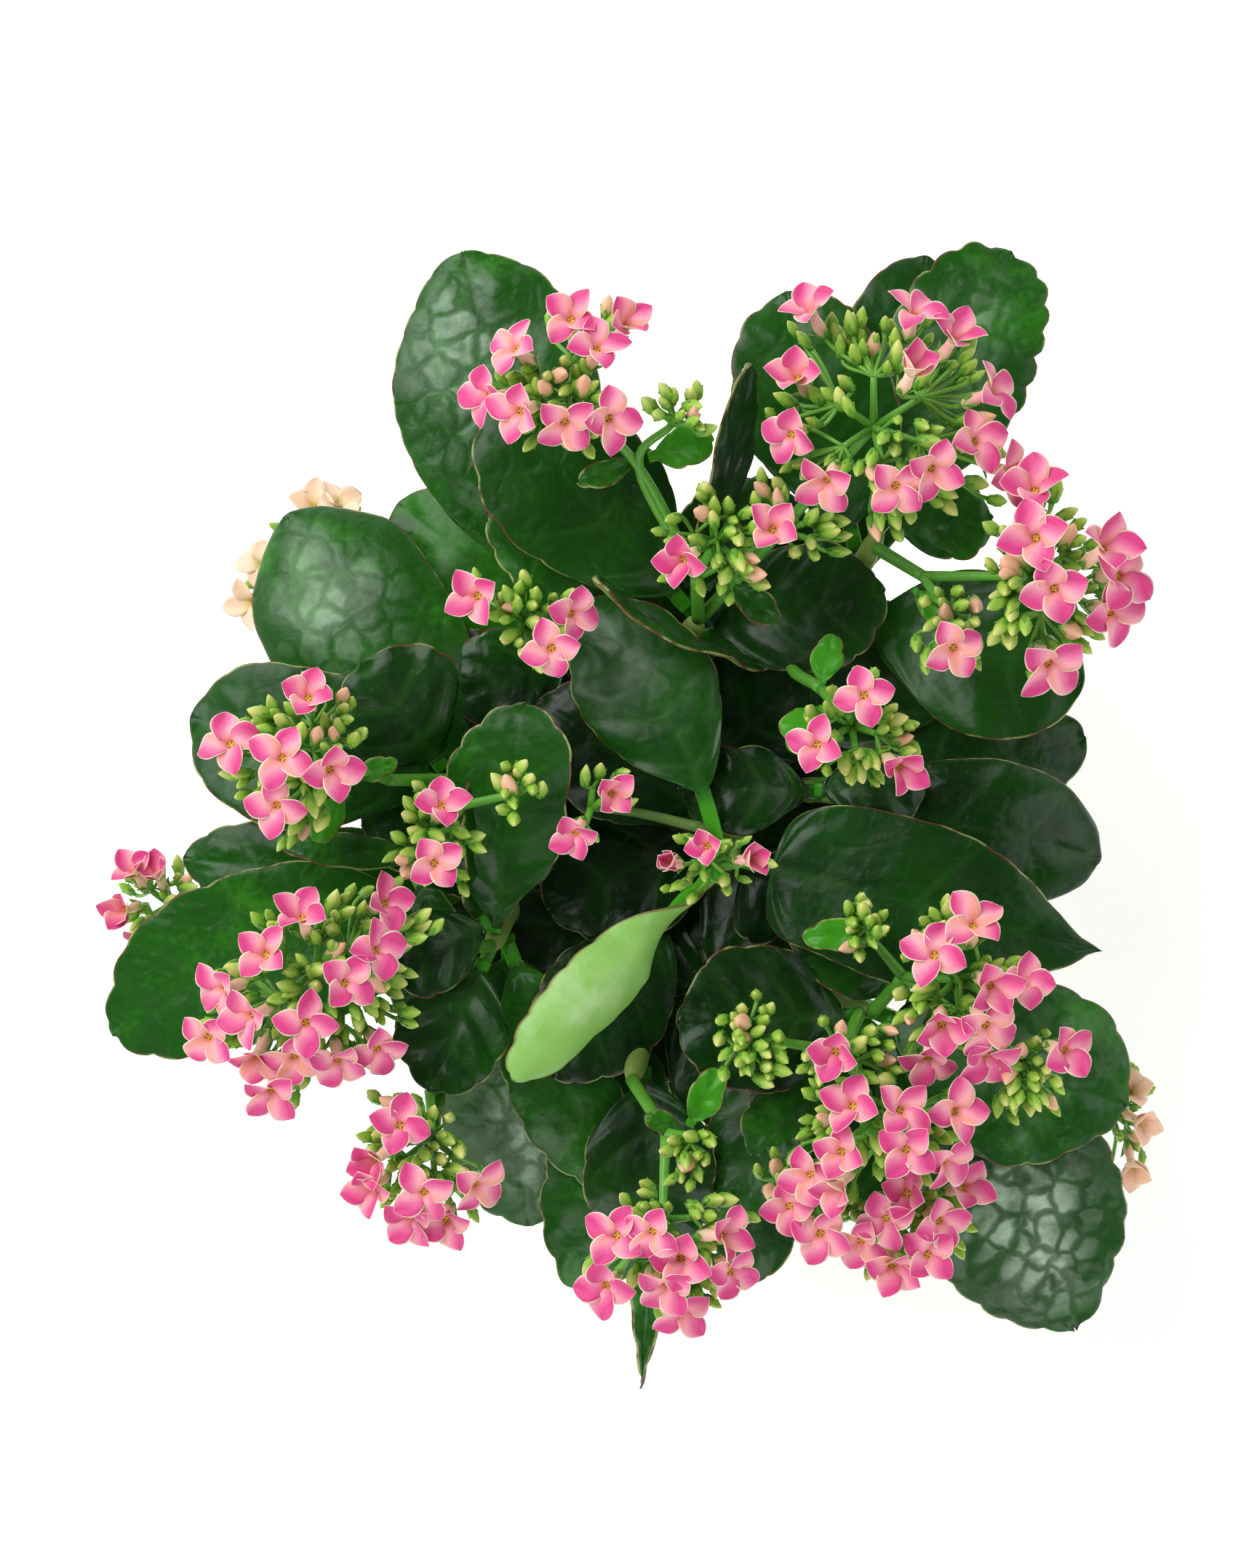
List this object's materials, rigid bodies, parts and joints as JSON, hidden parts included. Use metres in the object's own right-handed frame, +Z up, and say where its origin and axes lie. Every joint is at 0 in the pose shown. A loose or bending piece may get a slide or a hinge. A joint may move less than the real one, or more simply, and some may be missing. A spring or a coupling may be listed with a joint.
{
  "type": "potted kalanchoe",
  "caption": "Flowering kalanchoe in a plain clay pot: broad glossy scalloped leaves with trusses of pink four-petalled flowers and green buds standing above them.",
  "frame": {"origin": "middle of the pot's underside, on the surface that it stands on", "axes": "+Z up along the pot's axis, +Y towards the back of the plant, +X to its right"},
  "size_m": [0.3253, 0.353, 0.2405],
  "materials": {
    "fired_clay": "dry unglazed fired clay, red-brown",
    "potting_soil": "moist dark crumbly potting soil",
    "stem_green": "smooth fleshy green stem, brownish towards the soil",
    "leaf_green": "waxy dark green leaf with a soft sheen and a thin red-brown rim",
    "flower_pink": "satin pink petals with a salmon middle, on pale green stalks with yellow-green buds"
  },
  "bodies": {
    "root": {"pot": "fired_clay", "soil": "potting_soil", "stem_east": "stem_green", "stem_north": "stem_green", "stem_south": "stem_green", "stem_west": "stem_green", "leaf_back_broad": "leaf_green", "leaf_back_corner": "leaf_green", "leaf_back_low": "leaf_green", "leaf_east_glossy": "leaf_green", "leaf_east_high": "leaf_green", "leaf_east_low": "leaf_green", "leaf_east_pointed": "leaf_green", "leaf_east_small": "leaf_green", "leaf_middle_dark": "leaf_green", "leaf_middle_glossy": "leaf_green", "leaf_middle_left": "leaf_green", "leaf_middle_low": "leaf_green", "leaf_middle_right": "leaf_green", "leaf_middle_upright": "leaf_green", "leaf_north_broad": "leaf_green", "leaf_north_east_inner": "leaf_green", "leaf_north_upright": "leaf_green", "leaf_north_west_bright": "leaf_green", "leaf_north_west_inner": "leaf_green", "leaf_north_west_tall": "leaf_green", "leaf_south_brown": "leaf_green", "leaf_south_curled": "leaf_green", "leaf_south_dark": "leaf_green", "leaf_south_east_large": "leaf_green", "leaf_south_east_upper": "leaf_green", "leaf_south_glossy": "leaf_green", "leaf_south_inner": "leaf_green", "leaf_south_low": "leaf_green", "leaf_south_narrow": "leaf_green", "leaf_south_west_large": "leaf_green", "leaf_south_west_long": "leaf_green", "leaf_turned_over": "leaf_green", "leaf_west_broad": "leaf_green", "leaf_west_folded": "leaf_green", "leaf_west_low": "leaf_green", "leaf_west_round": "leaf_green", "leaf_west_upper": "leaf_green", "truss_behind_round_leaf": "flower_pink", "truss_east": "flower_pink", "truss_east_front": "flower_pink", "truss_far_east": "flower_pink", "truss_far_west": "flower_pink", "truss_front": "flower_pink", "truss_front_left": "flower_pink", "truss_front_right": "flower_pink", "truss_middle": "flower_pink", "truss_middle_right": "flower_pink", "truss_north": "flower_pink", "truss_north_east": "flower_pink", "truss_north_west": "flower_pink", "truss_south_east": "flower_pink", "truss_south_west": "flower_pink", "truss_west": "flower_pink", "truss_west_inner": "flower_pink"}
  },
  "joints": []
}
